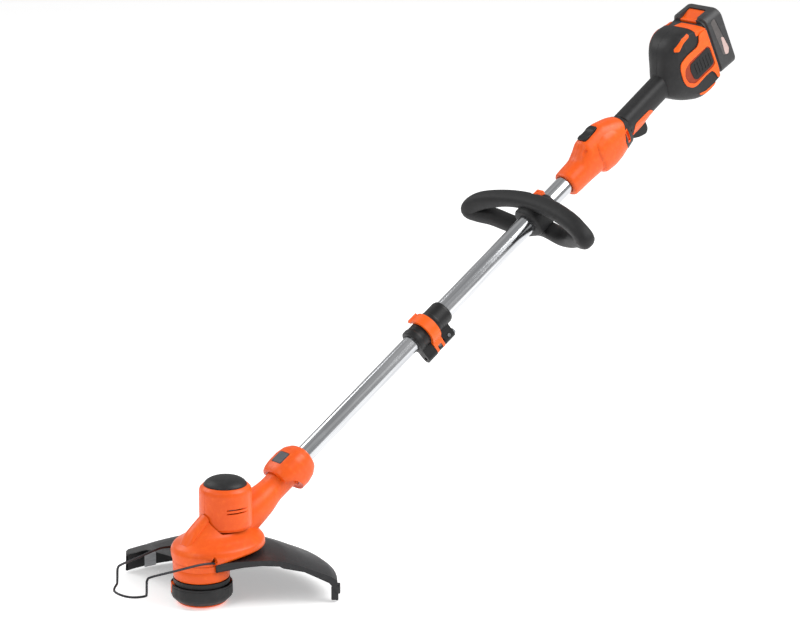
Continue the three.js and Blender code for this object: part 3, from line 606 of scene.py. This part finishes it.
aux = loop_skin("loop_handle")
cut(aux, block(520.7, 561.3, -16.3, 16.3, -60, -14.2, SHAFT),
    block(549.2, 568, -7.6, 7.6, 15.2, 40, SHAFT, 1.5))
piece(aux, "aux_handle", ["aux_handle"], "charcoal_plastic", SOFT_GRIP)
cap = combine(loop_skin("loop_clamp_cap"), "INTERSECT", block(521, 561, -16, 16, -60, -14.5, SHAFT, 2))
piece(cap, "aux_handle", ["aux_clamp_cap"], "charcoal_plastic", CHARCOAL)
slide = shape("loop_release", block(550, 565, -7, 7, 17.8, 24.5, SHAFT, 2))
cut(slide, *[block(s, s + 1.2, -5, 5, 23.8, 30, SHAFT, 0.4) for s in (553, 556.5, 560)])
piece(slide, "aux_button", ["aux_button"], "orange_plastic", ORANGE, bevel=0.7)

# ---- switch housing --------------------------------------------------------------------------------------
SWITCH = [
    (606, 16.5, 18.5, 17), (610, 17.5, 21.5, 19), (636, 19, 23, 19.5), (650, 26.5, 24, 20),
    (662, 34.5, 25, 20.5), (694, 36.5, 26, 22), (712, 31, 26, 22.5), (728, 24, 26, 20.5),
    (739, 16.2, 24, 16.8),
]
BULB = [
    (667, 18, 26, 20.5), (672, 27, 31.5, 24.3), (690, 31, 34, 25), (706, 28, 33, 24.3), (739, 15.8, 29, 16.3),
]
THUMB = [(663, -7), (663, 7), (670, 8.4), (687, 8.4), (694, 7), (694, -7), (687, -8.4), (670, -8.4)]


def switch_skin(name):
    made = shape(name, loft(SWITCH, SHAFT, 2.4, 96))
    join(made, loft(BULB, SHAFT, 2.7, 96, spacing=1, crease=4))
    socket = lathe(fillet([(0, 600), (15.6, 600), (14.3, 609), (14.3, 705), (0, 705)], 0.5), SHAFT, "x")
    hollow = loft([(660, 28, 20, 17), (700, 28, 22, 19), (738, 12.5, 20, 12.5)], SHAFT, 2.4, 48)
    thumb = plate(fillet(np.array(THUMB) * (1, 1.09), 3, loop=True), 26, 60, SHAFT)
    slots = [block(725, 730.4, *across(side, 15.5, 40), -15, 2.6, SHAFT, 1.5) for side in (-1, 1)]
    turn = np.linspace(0, np.pi, 24)
    dent = lathe(np.stack([np.sin(turn), -np.cos(turn)], axis=1), GROUND, "x", 40) * (11, 4.6, 4)
    dents = [SHAFT(dent + np.array([646, side * 14, 25.2])) for side in (-1, 1)]
    return cut(made, socket, hollow, thumb, *slots, *dents)


halves("switch_housing", switch_skin, "handle", "orange_plastic", ORANGE)
cuff = shape("grip_cuff", loft(BULB, SHAFT, 2.7, 96, spacing=1, crease=4, grow=0.5))
join(cuff, loft(SWITCH, SHAFT, 2.4, 96, grow=0.5))
cuff_line = [(738, 40), (733, 14), (724, 2), (719, -10), (720.5, -24), (730, -33), (738.8, -40), (738.8, 40)]
combine(cuff, "INTERSECT", plate(fillet(cuff_line, 4, loop=True), -40, 40, SHAFT, "xz"))
cut(cuff, block(724, 731.2, -40, 40, -18.4, 5.6, SHAFT, 1.5), rod(16, 700, 745))
piece(cuff, "handle", [], "charcoal_plastic", CHARCOAL)
thumb = shape("lock_off", plate(fillet(THUMB, 3, loop=True), 30, 37.2, SHAFT))
join(thumb, block(672, 684, -5, 5, 24, 31, SHAFT))
cut(thumb, crossbar(26, 40, (678, 0, 62)))
piece(thumb, "lock_button", ["lock_button"], "black_plastic", BLACK, bevel=0.9)

# ---- rear handle and battery housing ---------------------------------------------------------------------
GRIP = [(741, 16.4, 19, 15.5), (790, 17, 18.5, 15.5), (846, 17.5, 17.5, 16)]
HOUSING = [
    (-3, -13), (-2, 8), (6, 25), (12, 42), (20, 54), (33, 62), (48, 64), (66, 61), (PACK_FACE, 54),
    (PACK_FACE, -28), (85, -40), (66, -47), (44, -48), (20, -36), (4, -23),
]
HOUSING_HALF = 33
SIDE_TAPER = 0.0625
HEART = (62, 10)


def housing_skin(inset):
    """The housing's outline across y: drawn in towards its heart near the sides, more at the front and top,
    with sides that close in towards the grip."""
    line = fillet(HOUSING, 9, 6, loop=True)
    side = np.sin(np.linspace(-np.pi / 2, np.pi / 2, 41))
    side = np.sign(side) * np.abs(side) ** 0.8
    side = side[:, None]
    a, b = line.T[:, None]
    along = (1 - 0.3 * np.abs(side) ** 3.2) * (1 - inset / 60)
    rounding = 0.2 - 0.15 * np.clip(a / PACK_FACE, 0, 1)
    across = (1 - rounding * np.abs(side) ** 5) * (1 - inset / 50)
    reach = np.where(a > 85, a - inset + 0 * side, HEART[0] + (a - HEART[0]) * along)
    half = HOUSING_HALF - SIDE_TAPER * (PACK_FACE - reach) - inset
    return closed(PACK(np.stack([reach, side * half, HEART[1] + (b - HEART[1]) * across], axis=-1)))


def grip_skin(name):
    made = shape(name, loft(GRIP, SHAFT, 2.6, 96))
    join(made, housing_skin(0))
    hollow = loft([(735, 13, 15, 12.3), (790, 13.5, 15, 12.3), (842, 14, 14, 12.5)], SHAFT, 2.4, 48)
    door = block(70, PACK_FACE + 5, -29, 29, -26.5, 90, PACK)
    slot = block(738, 786, -6.5, 6.5, -45, -6, SHAFT)
    trim = [block(748, 790, -30, 30, -40, -9.5, SHAFT), block(742.5, 750, -30, 30, -40, -19, SHAFT)]
    return cut(made, hollow, housing_skin(3), door, slot, *trim)


halves("handle", grip_skin, "handle", "charcoal_plastic", CHARCOAL)

TRIM = [(742, 10, 24, 14), (760, 10, 24, 14.5), (790, 10, 20, 14.5)]
trim = shape("trigger_surround", loft(TRIM, SHAFT, 2.4))
join(trim, loft(GRIP, SHAFT, 2.6, 96, grow=0.5))
trim_line = [(742.8, -40), (742.8, -21), (747, -9), (752, -4), (784, -4.5), (790, -10), (790, -40)]
combine(trim, "INTERSECT", plate(fillet(trim_line, 3, loop=True), -30, 30, SHAFT, "xz"))
cut(trim, block(738, 786, -7, 7, -45, 5, SHAFT),
    loft([(735, 13, 13.5, 11.5), (850, 14, 13.5, 11.5)], SHAFT, 2.4, 48))
piece(trim, "handle", ["trigger_trim"], "orange_plastic", ORANGE)

TRIGGER = [
    (742.5, -13.5), (748, -12), (772, -14), (777, -20), (776, -34), (770, -39.5), (756, -35), (744, -28),
    (741, -20),
]
trigger = shape("trigger_blade", plate(fillet(TRIGGER, 4, loop=True), -5.8, 5.8, SHAFT, "xz"))
piece(trigger, "trigger", ["trigger"], "black_plastic", BLACK, bevel=1.6)

# ---- side trims ------------------------------------------------------------------------------------------
PANEL = [
    (22.6, 0), (23.8, 18.5), (28, 27), (42.7, 31.3), (64.5, 32.7), (71, 38.2), (74.5, 48.5), (90, 48.5),
    (90, -17), (88, -32.5), (83.3, -32.5), (81.5, -22.7), (76.4, -15.4), (63, -16.4), (42.3, -20.5),
    (33.6, -18.7), (25.3, -10.4),
]
WINDOW = [
    (43, 20), (31.5, 14), (27.4, 3), (30.6, -8), (41, -15.8), (80, -11.8), (86.4, -8.6), (86.4, 18.4),
    (82.6, 23.8),
]
BADGE = [(43.2, 15.6), (40.3, 6), (42.4, -8.9), (48, -12.6), (80, -8.4), (85, -6.2), (85, 17), (82, 21.4)]


def on_side(outline, low, high, side):
    """A thin plate on the tapered side of the housing: y grows with a."""
    grid = plate(outline, low, high, GROUND, "xz")
    face = HOUSING_HALF - SIDE_TAPER * (PACK_FACE - grid[..., 0])
    grid[..., 1] = side * (face + grid[..., 1])
    return PACK(grid)


def inlay(name, outline, near, far, corner):
    """An orange patch of the housing's own surface, a little proud of it, inside an outline seen along y."""
    patch = shape(name, housing_skin(-0.35))
    combine(patch, "INTERSECT", plate(fillet(outline, corner, loop=True), near, far, PACK, "xz"))
    return piece(patch, "handle", [], "orange_plastic", ORANGE)


TOP_FLASH = [(26.6, 47), (28.5, 51), (46, 58.5), (58.8, 59.6), (57, 54.6), (44, 51.5), (33, 44.5)]
LOW_FLASH = [(43, -35), (44.5, -38.4), (53, -41.5), (79, -39), (78, -36.4), (56, -38)]
REAR_RIM = [(70, 48), (70, 70), (90.6, 70), (90.6, 48), (79, 46)]
for name, near, far, rim_far in (("left", -40, -19, 8), ("right", 27, 40, 40)):
    inlay(f"top_flash_{name}", TOP_FLASH, near, far, 1.6)
    inlay(f"low_flash_{name}", LOW_FLASH, near, far, 1)
    inlay(f"rear_rim_{name}", REAR_RIM, near, rim_far, 1)
for name, side in (("left", -1), ("right", 1)):
    frame_ring = shape(f"side_trim_{name}", on_side(fillet(PANEL, 3.5, loop=True), 0.2, 2, side))
    cut(frame_ring, on_side(fillet(WINDOW, 3, loop=True), -3, 4, side))
    piece(frame_ring, "handle", [f"side_panel_{name}"], "orange_plastic", ORANGE, bevel=0.6)
    # The recess is the housing's orange, darkened as painted shade.
    recess = shape(f"panel_recess_{name}", on_side(fillet(WINDOW, 3, loop=True), 0.1, 0.7, side))
    piece(recess, "handle", [], "orange_plastic", RECESS_SHADE_ORANGE)
    badge = shape(f"vent_inset_{name}", on_side(fillet(BADGE, 3, loop=True), 0.2, 1.3, side))
    vents = [[(a, -5), (a + 2.4, -5), (a + 2.4, 13), (a, 13)] for a in range(48, 80, 6)]
    cut(badge, *[on_side(vent, 0.8, 3, side) for vent in vents])
    piece(badge, "handle", [f"vent_plate_{name}"], "black_plastic", BLACK)

# ---- battery ---------------------------------------------------------------------------------------------
def block_rings(stations):
    """Rounded rectangles over stations of [a, half width, low, high], with larger corners above."""
    rings = []
    for a, half, low, high in stations:
        corners = [
            ((half - 13, high - 13), 13, 0), ((13 - half, high - 13), 13, 90),
            ((9 - half, low + 9), 9, 180), ((half - 9, low + 9), 9, 270),
        ]
        ring = np.vstack([arc(centre, radius, start, start + 90, 12) for centre, radius, start in corners])
        rings.append(np.column_stack([np.full(len(ring), a), ring]))
    return closed(PACK(np.array(rings)))


front = PACK_FACE + 0.4
case = shape("battery_shell", block_rings([
    (front, 31.4, -29.4, 59.4), (front + 3.4, 31.6, -29.6, 59.6), (front + 3.9, 33.2, -31.2, 61.2),
    (front + 4.7, 34, -32, 62),
    (BATTERY_END - 5, 34, -32, 61.6), (BATTERY_END - 3, 33.9, -31.9, 61.2),
    (BATTERY_END - 1.4, 33.3, -31.3, 60.4), (BATTERY_END - 0.4, 32.6, -30.6, 59.6),
    (BATTERY_END, 32, -30, 59),
]))
join(case, block(76, PACK_FACE + 1, -28, 28, -25.5, 54, PACK))
recess = block(90, 117, -17, 17, 51.5, 70, PACK, 3)
LABEL_ROOM = [(102, 52), (112, 54), (121.5, -4), (117, -12), (106, -9)]
label_room = plate(fillet(LABEL_ROOM, 3, loop=True), -36, -33.4, PACK, "xz")
cut(case, block(81.4, 119.7, -27.5, 27.5, -24.6, 49.9, PACK), recess, label_room,
    *[block(70, 83, y - 1.4, y + 1.4, -40, 16, PACK) for y in (-12, 0, 12)])
piece(case, "battery", ["battery_case"], "battery_plastic", PACK_GREY)
LABEL_LINE = [(102.6, 51.2), (111.4, 53), (120.8, -4), (116.6, -11.2), (106.6, -8.3)]
label = shape("battery_label", plate(fillet(LABEL_LINE, 2.6, loop=True), -33.75, -33.35, PACK, "xz"))
piece(label, "battery", [], "battery_plastic", LABEL)
MARK_LINE = [(112.4, 20), (117.2, 17), (120.8, -4), (116.6, -11.2), (110.4, -9)]
mark = shape("battery_label_end", plate(fillet(MARK_LINE, 2.6, loop=True), -33.95, -33.6, PACK, "xz"))
piece(mark, "battery", [], "battery_plastic", PALE_LABEL)
CATCH_LINE = [(92, 52), (116.6, 52), (116.6, 60), (111, 60), (98, 56.5), (92, 57)]
catch = shape("battery_release", plate(fillet(CATCH_LINE, 1.2, loop=True), -16.6, 16.6, PACK, "xz"))
piece(catch, "battery_latch", ["battery_latch"], "orange_plastic", ORANGE, bevel=0.6)

# ---- head: motor housing and neck ------------------------------------------------------------------------
NECK = [
    (-112, 14, 16, 21), (-100, 24, 23, 22), (-88, 24, 23.5, 22), (-60, 20.5, 22, 20.5), (-34, 17.3, 18, 17.3),
    (-6, 18, 18, 18),
]
BARREL = [
    (0, 97.6), (34.2, 97.6), (34.2, 99.6), (35.5, 100.6), (35.5, 147), (34.4, 151.4), (30.6, 155),
    (29.4, 155.5), (0, 155.5),
]


def motor_skin(name):
    made = shape(name, lathe(fillet(BARREL, 1.4), MOTOR, segments=128))
    join(made, loft(NECK, SHAFT, 2.3, 96, edge=0.8), rod(20.9, -7.5, -1))
    vents = [MOTOR(spun(block(-14, 18, -50, -31, z, z + 1.9, GROUND, 0.6), -12)) for z in (123, 128)]
    return cut(made, lathe([(0, 90), (32.5, 90), (32.5, 149), (0, 149)], MOTOR),
               loft([(-104, 18, 18, 17), (-60, 16.5, 17.5, 16.5), (2, 14, 14, 14)], SHAFT, 2.2, 48),
               lathe([(0, 153), (29, 153), (29, 170), (0, 170)], MOTOR), *vents)


halves("motor_housing", motor_skin, "head", "orange_plastic", ORANGE)
dome = smooth([(0, 165.8), (10, 165.3), (19, 163.6), (26, 160), (28.4, 157.2)], np.linspace(28.4, 0, 40))
motor_lid = fillet([(0, 153.4), (28.6, 153.4), (28.6, 156.8)], 0.5)
piece(shape("motor_dome", lathe(np.vstack([motor_lid, dome]), MOTOR, segments=128)), "head", ["motor_cap"],
      "charcoal_plastic", CHARCOAL)

# ---- head: gearbox ---------------------------------------------------------------------------------------
DECK = [
    (60.4, 38.5, 3, 39), (66, 39.5, 14, 56), (73, 40, 27, 68), (79, 37.5, 28, 67), (87, 27.5, 36, 54),
    (95, 20, 42, 37), (104, 11, 42, 34), (112, 4, 42, 30),
]
deck = shape("gearbox_cover", egg(DECK, count=128, rows=90))
rib = np.array([(-30, 80, 7), (-20, 92, 9), (-7, 102.5, 9), (6, 113, 8)], float)
rib_rows = smooth(rib, np.linspace(-30, 6, 24))
ring_y, ring_z = rounded_ring(40, 2)
rib_grid = np.stack([
    rib_rows[:, :1] + 0 * ring_y, (rib_rows[:, 2:] + 2) * ring_y, rib_rows[:, 1:2] + rib_rows[:, 2:] * ring_z,
], axis=-1)
join(deck, closed(rib_grid))
cut(deck, egg([(55, 35.5, 3, 36), (66, 36.5, 14, 44), (74, 37, 22, 54), (82, 30, 30, 46), (91, 20, 40, 34)]),
    lathe([(0, 95.6), (37.4, 95.6), (37.4, 160), (0, 160)], MOTOR),
    loft(NECK, SHAFT, 2.3, 72, grow=0.4, edge=0.1), lathe([(0, 40), (10.3, 40), (10.3, 94), (0, 94)]),
    lathe([(0, 60), (5, 60), (5, 110), (0, 110)], MOTOR))
for side in (-1, 1):
    notch = fillet([(-16, 60), (-16, 68), (-11.5, 77), (-7, 68), (-7, 60)], 2, loop=True)
    cut(deck, plate(notch, *across(side, 37, 60), GROUND, "xz"))
piece(deck, "head", ["gearbox_deck"], "orange_plastic", ORANGE)
BASE = [(11.4, 50), (16, 50), (16, 54), (34, 54), (34, 37), (36.2, 36), (37.6, 37.4), (38, 44), (38.35, 51),
        (37.9, 51.5), (37.9, 52), (38.4, 52.5), (38.5, 60), (36, 60), (36, 57.5), (11.4, 57.5), (11.4, 50)]
foot = shape("gearbox_foot", lathe(BASE, segments=128))
piece(foot, "head", ["gearbox_base"], "orange_plastic", ORANGE, 50)

# ---- line head -------------------------------------------------------------------------------------------
TAB_ANGLES = (148, 328)


CAP_WALL = [
    (22, 5.6), (30, 4.8), (34.8, 4.8), (40.2, 10.4), (41.5, 13.6), (41.5, 25.2), (40.9, 25.8), (40.9, 26.6),
    (41.5, 27.2), (41.3, 28.6), (39, 28.6), (39, 12), (36, 7.5), (22, 7.5),
]
cap = shape("line_head_cap", lathe(ring_profile(CAP_WALL, 0.5, 3), segments=144, flutes=12, depth=0.012))
cut(cap, *[spun(block(34, 50, -7, 7, 15, 40, GROUND), angle) for angle in TAB_ANGLES],
    spun(rod(4.3, 34, 50, GROUND, offset=(0, 20)), 58))
piece(cap, "spindle", ["spool_cap"], "charcoal_plastic", CHARCOAL)
for name, angle in zip(("front", "rear"), TAB_ANGLES):
    ridges = [((41.3, 40.7)[i % 2], 17 + 1.2 * i) for i in range(7)]
    tab_profile = [(36.8, 15.4), (41, 15.4), *ridges, (41.1, 28.3), (36.8, 28.3), (36.8, 15.4)]
    tab = shape(f"release_tab_{name}_face", lathe(tab_profile, segments=180))
    combine(tab, "INTERSECT", spun(block(34, 50, -6.6, 6.6, 10, 40, GROUND), angle))
    piece(tab, f"release_tab_{name}", [f"release_tab_{name}"], "orange_plastic", ORANGE)
EYELET = [(1.6, 38.2), (3.9, 38.2), (3.9, 41), (4.9, 41.4), (4.6, 42.4), (2.2, 42.4), (1.6, 41.6)]
eyelet = lathe(ring_profile(EYELET, 0.3), GROUND, "x", 40) + np.array([0, 0, 20])
piece(shape("line_eyelet_ring", spun(eyelet, 58)), "spindle", ["line_eyelet"], "brass", BRASS)
KNOB = [(0, 0), (26, 0), (31.6, 1.5), (33.4, 3.2), (33.2, 4.2), (20, 5), (20, 9.7), (0, 9.7)]
knob = shape("bump_knob", lathe(fillet(KNOB, 1.2), segments=128))
piece(knob, "spool", ["spool_knob"], "orange_plastic", ORANGE)

# ---- guard -----------------------------------------------------------------------------------------------
RIM = (6, -11, 169)
HEAD_R = 41
TOP_LINE = [(0, 64), (0.2, 65.5), (0.42, 65), (0.56, 62), (0.7, 54.5), (0.85, 44), (0.95, 37), (1, 31)]
NEAR_EDGE = [(0, 52), (0.08, 53.6), (0.23, 56.9), (0.38, 57.7), (0.535, 55.3), (0.545, 52.8), (0.73, 45.5),
             (0.94, 27.5), (1, 11)]


def guard_sheet():
    """The guard's upper face as rows round the head: straight out from the head's circle to the rim's, then
    down the skirt, at heights from the top line. The first and last rows are folded down as end flanges, and
    the top sags towards the right end."""
    part = np.concatenate([[0, 0], np.linspace(0, 1, 130), [1, 1]])[:, None]
    k = np.concatenate([np.linspace(0, 1, 60), np.ones(14)])[None]
    down = np.concatenate([np.zeros(60), np.linspace(0, 1, 15)[1:]])[None]
    straight = np.interp(k, *np.array(TOP_LINE).T)
    top = smooth(TOP_LINE, k[0])[:, 1][None] * 0.5 + straight * 0.5
    z = top - 7 * step(part, 0.5, 1) * 4 * k * (1 - k)
    skirt = 20 - 17 * step(part, 0.6, 0.74) - 17 * (1 - step(part, 0.02, 0.03))
    z = z + (skirt - 31) * down
    left = np.interp(k, *np.array(NEAR_EDGE).T)
    fold = np.array([1, 0.5] + [0] * 130 + [0.5, 1])[:, None]
    lower = np.where(part < 0.5, left - (left - 3) * down, z - 8 * (1 - down))
    z = z + (lower - z) * fold
    inner, outer = np.radians(-100 + 215 * part), np.radians(-42 + 137 * part)
    reach = RIM[2] * (1 + 0.008 * down)
    x = (1 - k) * HEAD_R * np.cos(inner) + k * (RIM[0] + reach * np.cos(outer))
    y = (1 - k) * HEAD_R * np.sin(inner) + k * (RIM[1] + reach * np.sin(outer))
    return np.stack([x, y, z], axis=-1)


guard = shape("line_guard", guard_sheet(), wrap=False)
wall = guard.modifiers.new("wall", "SOLIDIFY")
wall.thickness = 0.0028
wall.offset = -1
wall.use_even_offset = False
piece(guard, "head", ["guard"], "charcoal_plastic", GUARD_GREY, 40)

end_blocks = [block(164, 173, 3, 13, 11, 24, GROUND, 2), block(161, 170.6, 0, 5.5, 3, 22, GROUND, 1.5)]
end_blocks = [spun(grid, -42) + np.array([RIM[0], RIM[1], 0]) for grid in end_blocks]
piece(shape("guard_lug", *end_blocks), "head", [], "charcoal_plastic", GUARD_GREY, bevel=1.5)
blade = spun(block(155, 156.6, -9, 9, 6, 26, GROUND), 84) + np.array([RIM[0], RIM[1], 0])
piece(shape("line_cutter_blade", blade), "head", ["line_cutter"], "cutter_steel", CUTTER, bevel=0.3)

# ---- wire edge guide -------------------------------------------------------------------------------------
GUIDE = np.array([
    (-12, 33, 67), (-12, 40, 67), (-12.8, 44, 67.2), (-18, 44.6, 69), (-38, 43.5, 71), (-73, 38, 69.5),
    (-108, 32.6, 68), (-114, 32, 65), (-115, 32, 60), (-115.5, 32, 47), (-117, 31, 43.5), (-127, 23, 42),
    (-134, 13, 42), (-136, 0, 42),
], float)
guide = evenly(np.vstack([GUIDE, GUIDE[-2::-1] * (1, -1, 1)]), 420)
piece(shape("edge_wire", cable(guide, 1.6, sides=16)), "edge_guide", ["edge_guide"], "wire", WIRE)

# ---- CAD nodes that keep their shape ---------------------------------------------------------------------
KEPT = {
    STEEL: ["motor_can", "lower_bearing", "upper_bearing", "motor_pinion", "spindle", "spool_spring",
            "battery_cells"],
    COPPER: ["motor_armature"], NYLON: ["drive_gear"], LINE: ["wound_line"], BOARD: ["controller_board"],
    BLACK: ["spool_driver", "spool", "lower_lead", "coiled_lead", "trigger_switch", "battery_receiver"],
}
for finish, names in KEPT.items():
    for name in names:
        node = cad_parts[name]
        node.data.materials.clear()
        node.data.materials.append(finish)

# ---- floor, light and camera -----------------------------------------------------------------------------
def pale(s):
    return {"Roughness": 0.55 + s.noise(6.0) * 0.1}


FLOOR_REACH = 9000
FLOOR_Z = -0.2
corners = [[(x, y, FLOOR_Z) for x in (-FLOOR_REACH, FLOOR_REACH)] for y in (-FLOOR_REACH, FLOOR_REACH)]
floor = shape("floor", np.array(corners, float), wrap=False)
floor.data.materials.append(material("pale floor", pale, Base_Color=(0.9, 0.9, 0.9, 1),
                                     Emission_Color=(1, 1, 1, 1), Emission_Strength=0.38))

world = bpy.data.worlds.new("studio")
bpy.context.scene.world = world
world.use_nodes = True
world.node_tree.nodes["Background"].inputs[0].default_value = (1, 1, 1, 1)
world.node_tree.nodes["Background"].inputs[1].default_value = 0.5


def lamp(name, place, target, size, power):
    data = bpy.data.lights.new(name, "AREA")
    data.size = size
    data.energy = power
    made = bpy.data.objects.new(name, data)
    bpy.context.scene.collection.objects.link(made)
    made.location = place
    made.rotation_euler = (Vector(target) - Vector(place)).to_track_quat("-Z", "Y").to_euler()


lamp("key", (2.3, -2.3, 3.4), (0.4, 0, 0.3), 3.0, 170)
lamp("side", (-2.6, -0.4, 2.6), (0.4, 0, 0.3), 1.4, 26)
lamp("back", (-0.8, 2.6, 2.6), (0.4, 0, 0.3), 1.8, 45)

CAMERA_TURN = math.radians(41.28)
CAMERA_RISE = math.radians(15.11)
CAMERA_DISTANCE = 4.47
CAMERA_TARGET = (0.352, 0, 0.338)
ahead = Vector((
    math.sin(CAMERA_TURN) * math.cos(CAMERA_RISE), math.cos(CAMERA_TURN) * math.cos(CAMERA_RISE),
    -math.sin(CAMERA_RISE),
))
camera = bpy.data.objects.new("camera", bpy.data.cameras.new("camera"))
bpy.context.scene.collection.objects.link(camera)
camera.data.lens = 145.9
camera.data.sensor_width = 36
camera.data.clip_end = 60
camera.location = Vector(CAMERA_TARGET) - ahead * CAMERA_DISTANCE
camera.rotation_mode = "QUATERNION"
camera.rotation_quaternion = ahead.to_track_quat("-Z", "Y")
bpy.context.scene.camera = camera
bpy.context.scene.view_settings.view_transform = "Standard"

bpy.context.view_layer.update()
